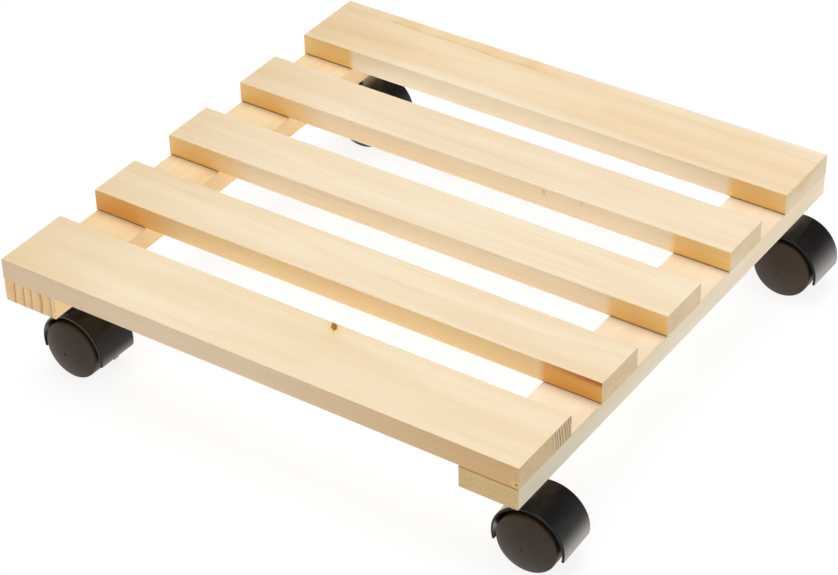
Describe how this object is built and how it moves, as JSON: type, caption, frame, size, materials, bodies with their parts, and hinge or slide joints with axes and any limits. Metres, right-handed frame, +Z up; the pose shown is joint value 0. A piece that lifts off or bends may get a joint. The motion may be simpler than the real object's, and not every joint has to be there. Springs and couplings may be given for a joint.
{
  "type": "rolling plant stand",
  "caption": "Low square plant stand: wooden slats across two battens, on hooded twin-wheel castors that swivel freely.",
  "frame": {"origin": "centre of the deck's top face", "axes": "+Z up out of the deck, +X along the slats to the right, -Y to the front"},
  "size_m": [0.3069, 0.291, 0.066],
  "materials": {
    "slat_pine": "planed, unfinished pine",
    "batten_pine": "planed, unfinished pine",
    "screw_zinc": "yellow zinc plate on steel",
    "plated_steel": "dull zinc plate",
    "bright_steel": "ground steel",
    "spring_steel": "plain spring steel",
    "hood_plastic": "satin moulded nylon",
    "wheel_plastic": "fine matt moulded nylon"
  },
  "bodies": {
    "deck": {"slat_front": "slat_pine", "slat_second": "slat_pine", "slat_middle": "slat_pine", "slat_fourth": "slat_pine", "slat_back": "slat_pine", "batten_left": "batten_pine", "batten_right": "batten_pine", "screws_left": "screw_zinc", "screws_right": "screw_zinc", "front_left_socket": "plated_steel", "front_left_grip_ring": "spring_steel", "front_left_stem": "bright_steel", "front_left_stem_clip": "spring_steel", "front_right_socket": "plated_steel", "front_right_grip_ring": "spring_steel", "front_right_stem": "bright_steel", "front_right_stem_clip": "spring_steel", "rear_left_socket": "plated_steel", "rear_left_grip_ring": "spring_steel", "rear_left_stem": "bright_steel", "rear_left_stem_clip": "spring_steel", "rear_right_socket": "plated_steel", "rear_right_grip_ring": "spring_steel", "rear_right_stem": "bright_steel", "rear_right_stem_clip": "spring_steel"},
    "front_left_castor": {"front_left_housing": "hood_plastic", "front_left_axle": "bright_steel"},
    "front_left_wheel_front": {"front_left_wheel_front": "wheel_plastic"},
    "front_left_wheel_rear": {"front_left_wheel_rear": "wheel_plastic"},
    "front_right_castor": {"front_right_housing": "hood_plastic", "front_right_axle": "bright_steel"},
    "front_right_wheel_front": {"front_right_wheel_front": "wheel_plastic"},
    "front_right_wheel_rear": {"front_right_wheel_rear": "wheel_plastic"},
    "rear_left_castor": {"rear_left_housing": "hood_plastic", "rear_left_axle": "bright_steel"},
    "rear_left_wheel_front": {"rear_left_wheel_front": "wheel_plastic"},
    "rear_left_wheel_rear": {"rear_left_wheel_rear": "wheel_plastic"},
    "rear_right_castor": {"rear_right_housing": "hood_plastic", "rear_right_axle": "bright_steel"},
    "rear_right_wheel_front": {"rear_right_wheel_front": "wheel_plastic"},
    "rear_right_wheel_rear": {"rear_right_wheel_rear": "wheel_plastic"}
  },
  "joints": [
    {"name": "front_left_swivel", "type": "hinge", "parent": "deck", "child": "front_left_castor", "pos_m": [-0.1299, -0.1208, -0.0317], "axis": [0, 0, 1], "continuous": true},
    {"name": "front_left_wheel_front_roll", "type": "hinge", "parent": "front_left_castor", "child": "front_left_wheel_front", "pos_m": [-0.11701, -0.12121, -0.0505], "axis": [0.0314, 0.9995, 0], "continuous": true},
    {"name": "front_left_wheel_rear_roll", "type": "hinge", "parent": "front_left_castor", "child": "front_left_wheel_rear", "pos_m": [-0.11701, -0.12121, -0.0505], "axis": [0.0314, 0.9995, 0], "continuous": true},
    {"name": "front_right_swivel", "type": "hinge", "parent": "deck", "child": "front_right_castor", "pos_m": [0.1298, -0.1235, -0.0317], "axis": [0, 0, 1], "continuous": true},
    {"name": "front_right_wheel_front_roll", "type": "hinge", "parent": "front_right_castor", "child": "front_right_wheel_front", "pos_m": [0.14269, -0.12305, -0.0505], "axis": [-0.0349, 0.9994, 0], "continuous": true},
    {"name": "front_right_wheel_rear_roll", "type": "hinge", "parent": "front_right_castor", "child": "front_right_wheel_rear", "pos_m": [0.14269, -0.12305, -0.0505], "axis": [-0.0349, 0.9994, 0], "continuous": true},
    {"name": "rear_left_swivel", "type": "hinge", "parent": "deck", "child": "rear_left_castor", "pos_m": [-0.1294, 0.123, -0.0317], "axis": [0, 0, 1], "continuous": true},
    {"name": "rear_left_wheel_front_roll", "type": "hinge", "parent": "rear_left_castor", "child": "rear_left_wheel_front", "pos_m": [-0.11652, 0.12368, -0.0505], "axis": [-0.0523, 0.9986, 0], "continuous": true},
    {"name": "rear_left_wheel_rear_roll", "type": "hinge", "parent": "rear_left_castor", "child": "rear_left_wheel_rear", "pos_m": [-0.11652, 0.12368, -0.0505], "axis": [-0.0523, 0.9986, 0], "continuous": true},
    {"name": "rear_right_swivel", "type": "hinge", "parent": "deck", "child": "rear_right_castor", "pos_m": [0.1284, 0.1229, -0.0317], "axis": [0, 0, 1], "continuous": true},
    {"name": "rear_right_wheel_front_roll", "type": "hinge", "parent": "rear_right_castor", "child": "rear_right_wheel_front", "pos_m": [0.1413, 0.12267, -0.0505], "axis": [0.0175, 0.9998, 0], "continuous": true},
    {"name": "rear_right_wheel_rear_roll", "type": "hinge", "parent": "rear_right_castor", "child": "rear_right_wheel_rear", "pos_m": [0.1413, 0.12267, -0.0505], "axis": [0.0175, 0.9998, 0], "continuous": true}
  ]
}
